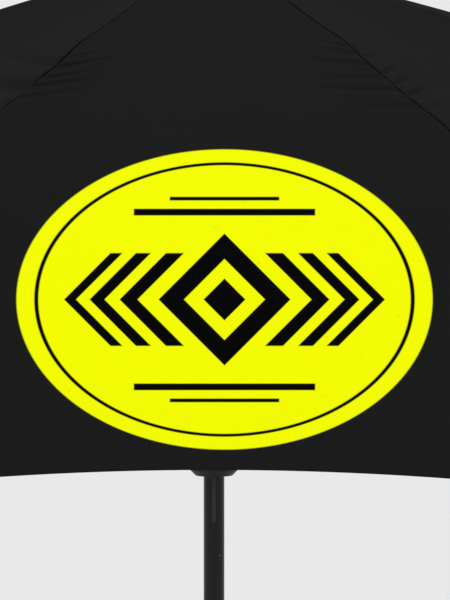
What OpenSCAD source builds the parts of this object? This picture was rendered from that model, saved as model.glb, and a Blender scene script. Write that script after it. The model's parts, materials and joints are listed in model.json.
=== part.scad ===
// Stick umbrella, open: eight ribs on a notch, eight stretchers on a sliding runner,
// a cloth canopy in one petal per rib, a steel shaft, a ferrule and a straight handle.
// Millimetres. +Z runs up the shaft, the origin is the middle of the grip, and the front gore faces -Y.
// A rib and its stretcher lie in one upright plane, drawn here in X (outwards) and Z
// and turned about the shaft.

/* [Ribs] */
// Length of a rib along its curve, from its pivot to the end of its rod
rib_length = 550; // [520:1:600]
// Diameter of the rod
rib_d = 3.2; // [3:0.1:3.6]
// Slope of a rib at its pivot, in degrees below level
rib_root_slope = 15; // [13:0.5:16]
// Slope at the stretcher's joint, where the nearly straight inner run passes into the bent outer run
rib_middle_slope = 17; // [16.5:0.5:20]
// Slope at the tip
rib_tip_slope = 42; // [38:0.5:48]
// Diameter of the metal sleeves at a rib's root and at its joint
rib_sleeve_d = 4.2; // [4:0.1:4.6]

/* [Folding] */
// Place of the stretcher's joint, along the rib from its pivot
joint_place = 212; // [195:1:225]
// Drop of the runner's pivots below the notch's pivots when the canopy is open
runner_drop = 190; // [180:1:200]
// Distance of the rib tips from the shaft's axis when the canopy is closed
closed_tip_r = 32; // [28:0.5:36]
// Distance of the ribs' pivots from the shaft's axis
notch_pivot_r = 11; // [10.5:0.1:12]
// Distance of the stretchers' pivots from the shaft's axis
runner_pivot_r = 13; // [12.5:0.1:14]

/* [Pivots] */
// Diameter of a pivot pin
pivot_d = 1.6; // [1.4:0.1:1.8]
// Outside diameter of a hinge knuckle
knuckle_d = 5.2; // [4.8:0.1:5.6]
// Thickness of a hinge knuckle
knuckle_t = 2.4; // [2:0.1:2.8]
// Room between a pin and its bore, all round
pivot_clear = 0.06; // [0.04:0.01:0.1]
// Room beside a knuckle in its slot
slot_clear = 0.3; // [0.25:0.05:0.4]

/* [Stretchers] */
// Depth of the pressed channel
stretcher_h = 5.2; // [4.8:0.1:5.6]
// Thickness of its sheet
stretcher_wall = 0.8; // [0.7:0.05:1]
// Length of the open fork at the rib's end
fork_length = 42; // [38:1:50]
// Width of the rib's joint lug, which the fork straddles
joint_w = 3.8; // [3.6:0.1:4.2]

/* [Canopy] */
// Thickness of the hemmed cloth
cloth_t = 0.8; // [0.6:0.1:1.2]
// Depth of the hem's hollow curve between two ribs, along the cloth
scallop = 19; // [10:1:30]

/* [Shaft] */
// Outside diameter of the tube
shaft_d = 10; // [9:0.5:10.5]
// Wall of the tube
shaft_wall = 1; // [0.8:0.1:1.2]
// Length of the ferrule above the crown
ferrule_length = 62; // [50:1:80]
// Diameter of the ferrule's shank
ferrule_d = 9; // [8:0.5:10]

/* [Runner] */
// Length of the runner below its pivots
runner_length = 58; // [50:1:66]
// Diameter of the runner's sleeve
runner_d = 18; // [17.6:0.1:19]

/* [Handle] */
// Length of the straight grip
grip_length = 96; // [85:1:110]
// Diameter of the grip
grip_d = 26; // [24:0.5:30]
// Radius of its rounded lower edge
grip_round = 9; // [6:0.5:11]
// Length of the neck that draws in to the collar
neck_length = 18; // [14:1:24]
// Number of flutes round the grip
flute_count = 12; // [8:1:14]
// Depth of a flute
flute_depth = 0.9; // [0.5:0.1:1.2]
// Height of the metal collar
collar_h = 9; // [7:0.5:12]

/* [Hidden] */
rib_count = 8;
// Facets of small rounds and of the long arcs
round_fn = 64;
rod_fn = 24;
neck_fn = 240;
arc_fn = 1440;
// Length by which a cut runs past the face it opens
overrun = 1;
// Room between two pieces that are seated on each other
seat = 0.05;
// Room between pieces that move past each other
running_gap = 0.3;
rib_r = rib_d / 2;
knuckle_r = knuckle_d / 2;
sleeve_r = rib_sleeve_d / 2;
shaft_r = shaft_d / 2;
grip_r = grip_d / 2;
slot_w = knuckle_t + 2 * slot_clear;

// Root of a rib: the rod lies above its pivot, on a flat bar and a sleeve
rib_rise = knuckle_r - rib_r;
root_bar = 10;
root_bar_h = 3;
root_sleeve = 22;
joint_sleeve = 24;
joint_sink = knuckle_r + running_gap;
rod_break = 2;
// Tip: a stop on the rod, a socket seated on it, and a ball at the end with an eye for the thread
tip_stop_d = 4.4;
tip_stop = 6;
tip_socket = 13;
tip_d = 5.4;
tip_ball_d = 7;
tip_length = 20;
tip_eye_d = 1.4;
// Stretcher: a flat foot at the runner, then the channel
foot_bar = 13;
foot_block = 8;
foot_h = 4;
rivet_d = 3.4;
rivet_h = 0.7;
fork_gap = max(joint_w, rib_sleeve_d) + 2 * slot_clear;
fork_w = fork_gap + 2 * stretcher_wall;
// Notch: a slotted crown on the shaft
notch_r = 15;
notch_up = 2;
notch_low = 6;
notch_hub_wall = 2.2;
notch_hub_r = shaft_r + notch_hub_wall;
notch_tail = 10;
pivot_embed = 1.2;
// Runner: a slotted crown, a sleeve and a finger ring
runner_crown_r = 17;
runner_up = 3.4;
runner_low = 5.4;
runner_ring_r = 11.5;
runner_ring_h = 12;
runner_clear = 0.12;
// Catches: sprung blades that stand through slots in the tube
catch_w = 2;
catch_h = 22;
catch_out = 2.4;
catch_in = 2.6;
catch_clear = 0.1;
// Cloth: above the sleeves, in a petal for each rib
cloth_rise = sleeve_r + running_gap;
cloth_end = rib_length - tip_socket - running_gap;
petal_gap = 0.3;
petal_rows = 14;
petal_cols = 10;
half_gore = 180 / rib_count;
// Crown cap and ferrule
cap_r = 17;
cap_rim = 1.2;
cap_boss_r = 9;
cap_boss_h = 4;
ferrule_base_r = 8;
ferrule_base_h = 7;
ferrule_taper_h = 12;
ferrule_groove_d = 1.2;
ferrule_groove_shares = [1 / 3, 2 / 3];
shaft_in_ferrule = 16;
shaft_in_handle = 60;
// Room left between the collar and the closed tips or the runner, whichever hangs lower
tip_rest_gap = 14;
collar_r = 8.5;
collar_groove = 0.6;
// Flutes of the grip: diameter of the round they are cut to, room at the ends of the straight run,
// and the plain belt between the two rows
flute_d = 5;
flute_margin = 11;
flute_belt = 12;

// The rib's curve: a wide arc, a tighter arc and a straight end, all tangent
function outward(slope) = [cos(slope), -sin(slope)];
function upward(slope) = [sin(slope), cos(slope)];
inner_run = joint_place;
bend_end = rib_length - tip_socket - seat - tip_stop / 2;
outer_run = bend_end - inner_run;
inner_r = inner_run * 180 / (PI * (rib_middle_slope - rib_root_slope));
outer_r = outer_run * 180 / (PI * (rib_tip_slope - rib_middle_slope));
notch_pivot = [notch_pivot_r, 0];
inner_centre = notch_pivot + (rib_rise - inner_r) * upward(rib_root_slope);
outer_centre = inner_centre + (inner_r - outer_r) * upward(rib_middle_slope);
straight_start = outer_centre + outer_r * upward(rib_tip_slope);
function rib_slope(s) =
    s < inner_run ? rib_root_slope + (rib_middle_slope - rib_root_slope) * s / inner_run
    : s < bend_end ? rib_middle_slope + (rib_tip_slope - rib_middle_slope) * (s - inner_run) / outer_run
    : rib_tip_slope;
function rib_point(s, rise = 0) =
    s < inner_run ? inner_centre + (inner_r + rise) * upward(rib_slope(s))
    : s < bend_end ? outer_centre + (outer_r + rise) * upward(rib_slope(s))
    : straight_start + (s - bend_end) * outward(rib_tip_slope) + rise * upward(rib_tip_slope);

// The fold: a rib turns down until its tip is beside the shaft, and the runner follows its stretcher
rib_joint = rib_point(joint_place, -joint_sink);
runner_pivot = [runner_pivot_r, -runner_drop];
stretcher_length = norm(rib_joint - runner_pivot);
stretcher_rise = atan2(rib_joint.y - runner_pivot.y, rib_joint.x - runner_pivot.x);
tip_reach = norm(rib_point(rib_length) - notch_pivot);
tip_slope_open = -atan2(rib_point(rib_length).y, rib_point(rib_length).x - notch_pivot_r);
rib_fold = acos((closed_tip_r - notch_pivot_r) / tip_reach) - tip_slope_open;
joint_reach = norm(rib_joint - notch_pivot);
joint_slope_closed = rib_fold - atan2(rib_joint.y, rib_joint.x - notch_pivot_r);
joint_closed = notch_pivot + joint_reach * outward(joint_slope_closed);
stretcher_run_closed = joint_closed.x - runner_pivot_r;
runner_closed_drop = -joint_closed.y + sqrt(pow(stretcher_length, 2) - pow(stretcher_run_closed, 2));
runner_travel = runner_closed_drop - runner_drop;

// Heights up the shaft
neck_z = grip_length / 2;
collar_z = neck_z + neck_length;
grip_low = grip_round - neck_z;
flute_run = (neck_z - grip_low - flute_belt) / 2 - flute_margin;
flute_lows = [grip_low + flute_margin, neck_z - flute_margin - flute_run];
tips_hang = tip_reach + tip_length - tip_socket;
runner_hang = runner_closed_drop + runner_length;
notch_z = collar_z + collar_h + tip_rest_gap + max(tips_hang, runner_hang);
runner_z = notch_z - runner_drop;
upper_catch_z = runner_z - runner_length - running_gap - catch_h;
lower_catch_z = runner_z - runner_travel - runner_length / 2 - catch_h / 2;
cloth_drop = tan(rib_root_slope);
cap_z = notch_z + (rib_rise + cloth_rise + cloth_t + running_gap) / cos(rib_root_slope);
ferrule_z = cap_z + notch_pivot_r * cloth_drop + cap_boss_h + seat;
shaft_top = ferrule_z + shaft_in_ferrule;
shaft_bottom = collar_z - shaft_in_handle;

ribs = [1 : rib_count];

// Turns a rib's plane to its place round the shaft, with the notch's pivots at height zero
module rib_plane(i) {
    rotate([0, 0, 2 * half_gore * (i - 1 / 2) - 90])
        translate([0, 0, notch_z])
            children();
}

// Moves to a point of the rib's plane
module at_point(p) {
    translate([p.x, 0, p.y])
        children();
}

// Moves to a place on the rib, with X outwards along the rod
module along_rib(s) {
    at_point(rib_point(s))
        rotate([0, rib_slope(s), 0])
            children();
}

// A round across the rib's plane
module cross_round(d, w) {
    rotate([90, 0, 0])
        cylinder(d = d, h = w, center = true, $fn = round_fn);
}

// A round along X
module lengthwise(d, length) {
    rotate([0, 90, 0])
        cylinder(d = d, h = length, $fn = rod_fn);
}

// A bent run of rod between two places along the rib
module rod_arc(centre, radius, from, to) {
    at_point(centre)
        rotate([90, 0, 0])
            rotate([0, 0, 90 - rib_slope(to)])
                rotate_extrude(angle = rib_slope(to) - rib_slope(from), $fn = arc_fn)
                    translate([radius, 0])
                        circle(d = rib_d, $fn = rod_fn);
}

// Pins across a ring of slots
module pivot_pins(pivot_r) {
    for (i = ribs)
        rotate([0, 0, 2 * half_gore * (i - 1 / 2) - 90])
            translate([pivot_r, 0, 0])
                cross_round(pivot_d, slot_w + 2 * pivot_embed);
}

// Slots for a ring of knuckles, open outwards
module pivot_slots(pivot_r, low, high, reach) {
    for (i = ribs)
        rotate([0, 0, 2 * half_gore * (i - 1 / 2) - 90])
            translate([pivot_r - knuckle_r - slot_clear, -slot_w / 2, -low])
                cube([reach, slot_w, low + high]);
}

module shaft() {
    color("#18181a")
        difference() {
            translate([0, 0, shaft_bottom])
                cylinder(d = shaft_d, h = shaft_top - shaft_bottom, $fn = round_fn);
            translate([0, 0, shaft_bottom - overrun])
                cylinder(
                    d = shaft_d - 2 * shaft_wall,
                    h = shaft_top - shaft_bottom + 2 * overrun,
                    $fn = round_fn
                );
            for (z = [upper_catch_z, lower_catch_z])
                translate([-catch_w / 2 - catch_clear, -shaft_d, z - catch_clear])
                    cube([catch_w + 2 * catch_clear, shaft_d, catch_h + 2 * catch_clear]);
        }
}

module ferrule() {
    color("#161617")
        difference() {
            translate([0, 0, ferrule_z]) {
                cylinder(r = ferrule_base_r, h = ferrule_base_h, $fn = round_fn);
                translate([0, 0, ferrule_base_h])
                    cylinder(r1 = ferrule_base_r, d2 = ferrule_d, h = ferrule_taper_h, $fn = round_fn);
                cylinder(d = ferrule_d, h = ferrule_length - ferrule_d / 2, $fn = round_fn);
                translate([0, 0, ferrule_length - ferrule_d / 2])
                    sphere(d = ferrule_d, $fn = round_fn);
            }
            translate([0, 0, ferrule_z - overrun])
                cylinder(r = shaft_r + seat, h = overrun + shaft_in_ferrule + seat, $fn = round_fn);
            for (share = ferrule_groove_shares)
                translate([0, 0, ferrule_z + share * ferrule_base_h])
                    rotate_extrude($fn = round_fn)
                        translate([ferrule_base_r, 0])
                            circle(d = ferrule_groove_d, $fn = rod_fn);
        }
}

// Cap over the crown: a cone that follows the cloth, with a boss under the ferrule
module crown_cap() {
    inner = shaft_r + seat;
    under_inner = (notch_pivot_r - inner) * cloth_drop;
    under_rim = (notch_pivot_r - cap_r) * cloth_drop;
    boss_top = notch_pivot_r * cloth_drop + cap_boss_h;
    color("#161617")
        translate([0, 0, cap_z])
            rotate_extrude($fn = round_fn)
                polygon([
                    [inner, under_inner],
                    [cap_r, under_rim],
                    [cap_r, under_rim + cap_rim],
                    [cap_boss_r, under_inner + cap_rim],
                    [ferrule_base_r, boss_top],
                    [inner, boss_top]
                ]);
}

module top_notch() {
    color("#1b1b1c")
        translate([0, 0, notch_z]) {
            difference() {
                rotate_extrude($fn = round_fn)
                    polygon([
                        [shaft_r + seat, -notch_low - notch_tail],
                        [notch_hub_r, -notch_low - notch_tail],
                        [notch_hub_r, -notch_low],
                        [notch_r, -notch_low / 2],
                        [notch_r, notch_up],
                        [shaft_r + seat, notch_up]
                    ]);
                pivot_slots(notch_pivot_r, notch_low + overrun, notch_up + overrun, notch_r);
            }
            pivot_pins(notch_pivot_r);
        }
}

module runner() {
    bore_r = shaft_r + runner_clear;
    tube_r = runner_d / 2;
    ring_step = runner_ring_r - tube_r;
    color("#1b1b1c")
        translate([0, 0, runner_z]) {
            difference() {
                rotate_extrude($fn = round_fn)
                    polygon([
                        [bore_r, runner_up],
                        [runner_crown_r, runner_up],
                        [runner_crown_r, -runner_low],
                        [tube_r, -2 * runner_low],
                        [tube_r, ring_step + runner_ring_h - runner_length],
                        [runner_ring_r, runner_ring_h - runner_length],
                        [runner_ring_r, ring_step - runner_length],
                        [tube_r, -runner_length],
                        [bore_r, -runner_length]
                    ]);
                pivot_slots(runner_pivot_r, knuckle_r + slot_clear, runner_up + overrun, runner_crown_r);
                translate([
                    -catch_w / 2 - running_gap,
                    -shaft_r - catch_out - running_gap,
                    -runner_length - overrun
                ])
                    cube([
                        catch_w + 2 * running_gap,
                        shaft_r + catch_out + running_gap,
                        runner_length + runner_up + 2 * overrun
                    ]);
            }
            pivot_pins(runner_pivot_r);
        }
}

// A blade with a flat end that holds the runner and a slope that it rides over
module catch_blade(flip) {
    translate([catch_w / 2, 0, catch_h / 2])
        mirror([0, 0, flip])
            rotate([90, 0, -90])
                linear_extrude(catch_w)
                    polygon([
                        [catch_in, -catch_h / 2],
                        [shaft_r, -catch_h / 2],
                        [shaft_r + catch_out, catch_h / 4],
                        [shaft_r + catch_out, catch_h / 2],
                        [catch_in, catch_h / 2]
                    ]);
}

module catches() {
    color("#3c3d40") {
        translate([0, 0, upper_catch_z])
            catch_blade(0);
        translate([0, 0, lower_catch_z])
            catch_blade(1);
    }
}

// A groove along the grip, with round ends
module grip_flute(low) {
    translate([grip_r - flute_depth + flute_d / 2, 0, low]) {
        cylinder(d = flute_d, h = flute_run, $fn = round_fn);
        for (z = [0, flute_run])
            translate([0, 0, z])
                sphere(d = flute_d, $fn = round_fn);
    }
}

// A straight fluted grip with a rounded end, and a neck of two equal arcs that draws in to the collar
module handle() {
    draw_in = grip_r - collar_r;
    neck_r = (pow(draw_in, 2) + pow(neck_length, 2)) / (4 * draw_in);
    neck_half = neck_length / 2;
    color("#1c1c1d")
        difference() {
            rotate_extrude($fn = round_fn) {
                translate([0, grip_low])
                    square([grip_r, grip_length - grip_round]);
                translate([0, -neck_z])
                    square([grip_r - grip_round, grip_length]);
                translate([grip_r - grip_round, grip_low])
                    intersection() {
                        circle(r = grip_round, $fn = round_fn);
                        translate([0, -grip_round])
                            square([grip_round, grip_round]);
                    }
                intersection() {
                    translate([0, neck_z])
                        square([grip_r, neck_half]);
                    translate([grip_r - neck_r, neck_z])
                        circle(r = neck_r, $fn = neck_fn);
                }
                difference() {
                    translate([0, neck_z + neck_half])
                        square([grip_r, neck_half]);
                    translate([collar_r + neck_r, collar_z])
                        circle(r = neck_r, $fn = neck_fn);
                }
            }
            translate([0, 0, shaft_bottom - seat])
                cylinder(r = shaft_r + seat, h = collar_z - shaft_bottom + seat + overrun, $fn = round_fn);
            for (k = [1 : flute_count], low = flute_lows)
                rotate([0, 0, 360 * k / flute_count])
                    grip_flute(low);
        }
}

module handle_collar() {
    inner = shaft_r + seat;
    color("#a4a7ab")
        translate([0, 0, collar_z])
            rotate_extrude($fn = round_fn)
                polygon([
                    [inner, seat],
                    [collar_r, seat],
                    [collar_r, collar_h / 3],
                    [collar_r - collar_groove, collar_h / 3 + collar_groove],
                    [collar_r - collar_groove, 2 * collar_h / 3 - collar_groove],
                    [collar_r, 2 * collar_h / 3],
                    [collar_r - collar_groove, collar_h],
                    [inner, collar_h]
                ]);
}

module rib(i) {
    color("#202022")
        rib_plane(i)
            difference() {
                union() {
                    at_point(notch_pivot)
                        cross_round(knuckle_d, knuckle_t);
                    along_rib(0)
                        translate([0, -knuckle_t / 2, -root_bar_h / 2])
                            cube([root_bar + root_sleeve / 4, knuckle_t, root_bar_h]);
                    along_rib(root_bar)
                        lengthwise(rib_sleeve_d, root_sleeve);
                    rod_arc(inner_centre, inner_r, root_bar + root_sleeve / 2, joint_place - rod_break);
                    rod_arc(outer_centre, outer_r, joint_place + rod_break, bend_end - rod_break);
                    along_rib(bend_end) {
                        translate([-tip_stop / 2, 0, 0])
                            lengthwise(tip_stop_d, tip_stop);
                        lengthwise(rib_d, rib_length - bend_end);
                    }
                    along_rib(joint_place) {
                        translate([-joint_sleeve / 2, 0, 0])
                            lengthwise(rib_sleeve_d, joint_sleeve);
                        translate([-knuckle_r, -joint_w / 2, -joint_sink])
                            cube([knuckle_d, joint_w, joint_sink]);
                        translate([0, 0, -joint_sink])
                            cross_round(knuckle_d, joint_w);
                    }
                }
                at_point(notch_pivot)
                    cross_round(pivot_d + 2 * pivot_clear, knuckle_t + 2 * overrun);
            }
}

module rib_tip(i) {
    color("#161617")
        rib_plane(i)
            along_rib(rib_length)
                translate([-tip_socket, 0, 0])
                    difference() {
                        union() {
                            lengthwise(tip_d, tip_length - tip_ball_d / 2);
                            translate([tip_length - tip_ball_d / 2, 0, 0])
                                sphere(d = tip_ball_d, $fn = round_fn);
                        }
                        translate([-overrun, 0, 0])
                            lengthwise(rib_d + 2 * seat, overrun + tip_socket + seat);
                        translate([tip_length - tip_ball_d / 2, 0, 0])
                            cross_round(tip_eye_d, tip_ball_d + 2 * overrun);
                    }
}

// A pressed channel, open upwards, with a flat foot at the runner and a fork round the rib's lug
module stretcher(i) {
    color("#2a2a2c")
        rib_plane(i)
            at_point(runner_pivot)
                rotate([0, -stretcher_rise, 0])
                    difference() {
                        union() {
                            cross_round(knuckle_d, knuckle_t);
                            translate([0, -knuckle_t / 2, -foot_h / 2])
                                cube([foot_bar + foot_block / 2, knuckle_t, foot_h]);
                            translate([foot_bar, -fork_w / 2, -stretcher_h / 2])
                                cube([stretcher_length - foot_bar, fork_w, stretcher_h]);
                            translate([stretcher_length, 0, 0]) {
                                cross_round(stretcher_h, fork_w);
                                cross_round(rivet_d, fork_w + 2 * rivet_h);
                            }
                        }
                        translate([foot_bar + foot_block, -fork_gap / 2, stretcher_wall - stretcher_h / 2])
                            cube([stretcher_length, fork_gap, stretcher_h]);
                        translate([stretcher_length - fork_length, -fork_gap / 2, -stretcher_h])
                            cube([fork_length + stretcher_h, fork_gap, 2 * stretcher_h]);
                        cross_round(pivot_d + 2 * pivot_clear, knuckle_t + 2 * overrun);
                    }
}

// A petal of cloth: the rib's curve, drawn straight across to the middle of the gore on either side
function petal_point(row, col, rise) =
    let (
        across = 2 * col / petal_cols - 1,
        hollow = scallop * (1 - pow(1 - abs(across), 2)),
        p = rib_point((cloth_end - hollow) * row / petal_rows, rise),
        way = across * (p.x * sin(half_gore) - petal_gap / 2)
    )
    [p.x - abs(way) * sin(half_gore), way * cos(half_gore), p.y];

module canopy(i) {
    rows = [0 : petal_rows - 1];
    cols = [0 : petal_cols - 1];
    layer = (petal_rows + 1) * (petal_cols + 1);
    below = [for (r = [0 : petal_rows], c = [0 : petal_cols]) petal_point(r, c, cloth_rise)];
    above = [for (r = [0 : petal_rows], c = [0 : petal_cols]) petal_point(r, c, cloth_rise + cloth_t)];
    function at(side, r, c) = side * layer + r * (petal_cols + 1) + c;
    function halves(a, b, c, d) = [[a, b, c], [a, c, d]];
    top = [for (r = rows, c = cols)
        each halves(at(1, r, c), at(1, r, c + 1), at(1, r + 1, c + 1), at(1, r + 1, c))];
    underside = [for (r = rows, c = cols)
        each halves(at(0, r, c), at(0, r + 1, c), at(0, r + 1, c + 1), at(0, r, c + 1))];
    right_edge = [for (r = rows)
        each halves(at(0, r, 0), at(1, r, 0), at(1, r + 1, 0), at(0, r + 1, 0))];
    left_edge = [for (r = rows, c = [petal_cols])
        each halves(at(0, r, c), at(0, r + 1, c), at(1, r + 1, c), at(1, r, c))];
    crown_edge = [for (c = cols)
        each halves(at(0, 0, c), at(0, 0, c + 1), at(1, 0, c + 1), at(1, 0, c))];
    hem_edge = [for (c = cols, r = [petal_rows])
        each halves(at(0, r, c), at(1, r, c), at(1, r, c + 1), at(0, r, c + 1))];
    color("#1e1e20")
        rib_plane(i)
            polyhedron(
                points = concat(below, above),
                faces = concat(top, underside, right_edge, left_edge, crown_edge, hem_edge)
            );
}

shaft();
ferrule();
crown_cap();
top_notch();
runner();
catches();
handle();
handle_collar();
for (i = ribs) {
    rib(i);
    rib_tip(i);
    stretcher(i);
    canopy(i);
}
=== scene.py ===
import json
import bpy
import numpy as np
from mathutils import Matrix, Vector


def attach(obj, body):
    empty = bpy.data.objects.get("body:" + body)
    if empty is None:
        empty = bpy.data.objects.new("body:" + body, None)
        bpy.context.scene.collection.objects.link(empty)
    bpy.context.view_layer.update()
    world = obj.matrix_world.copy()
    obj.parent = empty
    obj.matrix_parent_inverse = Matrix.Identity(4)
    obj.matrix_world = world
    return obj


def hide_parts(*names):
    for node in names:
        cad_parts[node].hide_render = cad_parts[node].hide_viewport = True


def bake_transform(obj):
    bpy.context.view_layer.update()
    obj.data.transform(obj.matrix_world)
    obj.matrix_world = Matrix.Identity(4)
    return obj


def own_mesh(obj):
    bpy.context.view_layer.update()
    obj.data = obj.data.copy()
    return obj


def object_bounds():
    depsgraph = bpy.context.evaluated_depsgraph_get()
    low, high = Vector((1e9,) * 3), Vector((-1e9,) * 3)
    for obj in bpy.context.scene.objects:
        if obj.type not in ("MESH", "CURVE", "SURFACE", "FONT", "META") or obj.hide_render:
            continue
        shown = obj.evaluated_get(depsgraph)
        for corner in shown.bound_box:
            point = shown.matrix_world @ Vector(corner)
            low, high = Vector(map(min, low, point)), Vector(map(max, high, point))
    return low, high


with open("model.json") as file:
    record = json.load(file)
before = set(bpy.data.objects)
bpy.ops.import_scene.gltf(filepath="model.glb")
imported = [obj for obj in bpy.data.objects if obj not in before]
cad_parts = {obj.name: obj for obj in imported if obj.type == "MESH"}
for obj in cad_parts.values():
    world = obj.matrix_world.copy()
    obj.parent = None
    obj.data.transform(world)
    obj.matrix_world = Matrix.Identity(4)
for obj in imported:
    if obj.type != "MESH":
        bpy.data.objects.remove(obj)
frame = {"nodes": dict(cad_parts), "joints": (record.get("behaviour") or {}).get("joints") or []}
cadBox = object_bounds()
nodes = frame["nodes"]
joints = {j["name"]: j for j in frame["joints"]}
ribNumbers = range(1, 9)

# The photo's view: a long lens a little above the hem, in front of one gore
photoView = {
    "widthPx": 450,
    "heightPx": 600,
    "focalPx": 5817.7,
    "distance": 2.8,
    "elevation": 3.87,  # degrees
    "lookAt": (0.0053, 0.0, 0.47562),
    "sensorMm": 36.0,  # on the long side
    "farEnd": 400.0,  # past the floor's far edge
}


# Eye = aim + distance along the backward direction; the picture's axes are right, up and forward
def photoAxes(view):
    tilt = np.radians(view["elevation"])
    back = np.array([0.0, -np.cos(tilt), np.sin(tilt)])
    right = np.array([1.0, 0.0, 0.0])
    eye = np.array(view["lookAt"]) + view["distance"] * back
    return eye, right, np.cross(back, right), -back


# Perspective: pixel = middle of the picture + focal length x sideways (or downward) way / depth
def photoPixels(points, view):
    eye, right, up, forward = photoAxes(view)
    ray = points - eye
    depth = ray @ forward
    across = view["widthPx"] / 2 + view["focalPx"] * (ray @ right) / depth
    down = view["heightPx"] / 2 - view["focalPx"] * (ray @ up) / depth
    return across, down


def makeCamera(view):
    eye, right, up, forward = photoAxes(view)
    data = bpy.data.cameras.new("photoCamera")
    data.sensor_width = view["sensorMm"]
    data.lens = view["sensorMm"] * view["focalPx"] / view["heightPx"]
    data.clip_end = view["farEnd"]
    camera = bpy.data.objects.new("photoCamera", data)
    turn = np.eye(4)
    turn[:3] = np.stack([right, up, -forward, eye], axis=1)
    camera.matrix_world = Matrix(turn.tolist())
    bpy.context.scene.collection.objects.link(camera)
    bpy.context.scene.camera = camera


makeCamera(photoView)
print("camera set")


# A node tree's output socket. Sums, products and comparisons of wires add Math nodes.
class Wire:
    def __init__(self, tree, socket=None):
        self.tree = tree
        self.socket = socket

    # any node: its type, its settings, the values or wires of its sockets, and the output wanted
    def add(self, kind, settings=None, inputs=None, out=0):
        node = self.tree.nodes.new(kind)
        for name, value in (settings or {}).items():
            setattr(node, name, value)
        for name, value in (inputs or {}).items():
            if isinstance(value, Wire):
                self.tree.links.new(value.socket, node.inputs[name])
            else:
                node.inputs[name].default_value = value
        return Wire(self.tree, node.outputs[out])

    # another output of the node that this wire leaves
    def sibling(self, out):
        return Wire(self.tree, self.socket.node.outputs[out])

    def math(self, operation, first, second=0.0):
        return self.add("ShaderNodeMath", {"operation": operation}, {0: first, 1: second})

    def __add__(self, other):
        return self.math("ADD", self, other)

    __radd__ = __add__

    def __sub__(self, other):
        return self.math("SUBTRACT", self, other)

    def __rsub__(self, other):
        return self.math("SUBTRACT", other, self)

    def __mul__(self, other):
        return self.math("MULTIPLY", self, other)

    __rmul__ = __mul__

    def __abs__(self):
        return self.math("ABSOLUTE", self)

    def most(self, other):
        return self.math("MAXIMUM", self, other)

    # 0 below the low edge, 1 above the high edge, a smooth step between
    def step(self, low, high):
        inputs = {"Value": self, "From Min": low, "From Max": high}
        return self.add("ShaderNodeMapRange", {"interpolation_type": "SMOOTHSTEP"}, inputs)

    # 1 between two edges, softened over the given width
    def band(self, low, high, soft):
        return self.step(low - soft, low + soft) * (1 - self.step(high - soft, high + soft))

    # the first colour where the mask is 0, the second where it is 1
    def mixColours(self, first, second, mask):
        settings = {"data_type": "RGBA"}
        return self.add("ShaderNodeMix", settings, {0: mask, 6: first, 7: second}, 2)

    def noise(self, vector, scale, detail=2.0, roughness=0.5):
        inputs = {"Vector": vector, "Scale": scale, "Detail": detail, "Roughness": roughness}
        return self.add("ShaderNodeTexNoise", None, inputs)

    def bump(self, height, strength, distance):
        inputs = {"Height": height, "Strength": strength, "Distance": distance}
        return self.add("ShaderNodeBump", None, inputs)

    def into(self, shader, socket):
        self.tree.links.new(self.socket, shader.inputs[socket])


# A new material: its name, and the shader's constant values on their own sockets
def newMaterial(name, constants):
    material = bpy.data.materials.new(name)
    material.use_nodes = True
    shader = material.node_tree.nodes["Principled BSDF"]
    for socket, value in constants.items():
        shader.inputs[socket].default_value = value
    return material, Wire(material.node_tree), shader


def objectPlace(start):
    return start.add("ShaderNodeTexCoord", None, None, "Object")


# The two numbers of one of a piece's own maps
def mapParts(start, mapName):
    place = start.add("ShaderNodeUVMap", {"uv_map": mapName})
    first = place.add("ShaderNodeSeparateXYZ", None, {0: place})
    return first, first.sibling(1)


def grey(level):
    return (level, level, level, 1.0)


# Black mottled by a noise, with a grain in relief
def mottledMaterial(name, f):
    material, start, shader = newMaterial(name, f["shader"])
    place = objectPlace(start)
    mottle = start.noise(place, *f["mottle"])
    start.mixColours(*map(grey, f["blacks"]), mottle).into(shader, "Base Color")
    (f["rough"][0] + f["rough"][1] * mottle).into(shader, "Roughness")
    kind, scale = f["grain"]
    grain = start.add(kind, None, {"Vector": place, "Scale": scale})
    start.bump(grain, *f["relief"]).into(shader, "Normal")
    return material


# Mesh from whole arrays: points (n, 3), quads (m, 4), maps of two numbers a point, or caps of any one size
def makeMesh(name, points, quads, maps=None, caps=None):
    faces = quads.tolist() + ([] if caps is None else caps.tolist())
    mesh = bpy.data.meshes.new(name)
    mesh.from_pydata(points.tolist(), [], faces)
    mesh.polygons.foreach_set("use_smooth", np.ones(len(faces), dtype=bool))
    for mapName, values in (maps or {}).items():
        layer = mesh.uv_layers.new(name=mapName)
        layer.data.foreach_set("uv", values[quads.ravel()].astype(np.float32).ravel())
    mesh.update()
    return mesh


# A piece that rides on one body; a piece given none rides on no body
def addPiece(mesh, body, material):
    piece = bpy.data.objects.new(mesh.name, mesh)
    bpy.context.scene.collection.objects.link(piece)
    mesh.materials.append(material)
    if body:
        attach(piece, body)
    return piece


# A piece of cloth or thread on one rib
def addSoft(mesh, i, material):
    return addPiece(mesh, f"rib_body_{i}", material)


# Quads of a grid of rows x columns; a closed direction joins its last line to its first
def gridQuads(rows, cols, closeRows=False, closeCols=False):
    r = np.arange(rows if closeRows else rows - 1)[:, None]
    c = np.arange(cols if closeCols else cols - 1)[None, :]
    nextR = (r + 1) % rows
    nextC = (c + 1) % cols
    corners = [r * cols + c, nextR * cols + c, nextR * cols + nextC, r * cols + nextC]
    return np.stack(np.broadcast_arrays(*corners), axis=-1).reshape(-1, 4)


def unit(vectors):
    return vectors / np.linalg.norm(vectors, axis=-1, keepdims=True)


def fullTurn(count):
    return np.arange(count) * 2 * np.pi / count


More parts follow.
